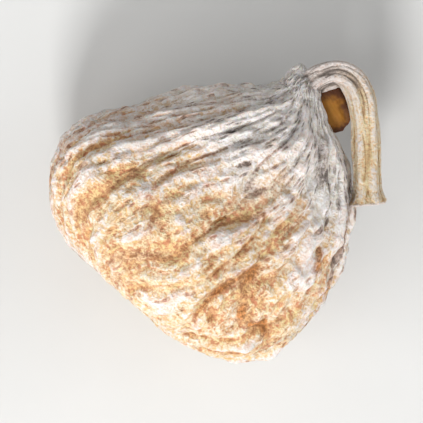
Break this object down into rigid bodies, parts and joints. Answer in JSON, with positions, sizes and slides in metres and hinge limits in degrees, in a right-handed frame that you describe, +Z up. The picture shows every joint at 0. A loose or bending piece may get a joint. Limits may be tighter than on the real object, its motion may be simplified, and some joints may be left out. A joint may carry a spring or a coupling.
{
  "type": "dried fig",
  "caption": "Pear-shaped dried fig lying on its flattened side: lengthwise folds from a scaled eye to a narrow neck, with a bent ribbed stalk beside its shoulder.",
  "frame": {"origin": "on the table, under the middle of the outline as seen from above", "axes": "+Y from the eye to the neck and stalk, +X to the side that the stalk bends to, +Z up from the table"},
  "size_m": [0.0382, 0.0402, 0.026],
  "materials": {
    "skin": "amber skin, matt, dusted with a grey-white sugar bloom on its folds and towards the neck",
    "stalk": "dry tan stalk, matt, with pale lengthwise ribs"
  },
  "bodies": {
    "root": {"fig": "skin"}
  },
  "joints": []
}
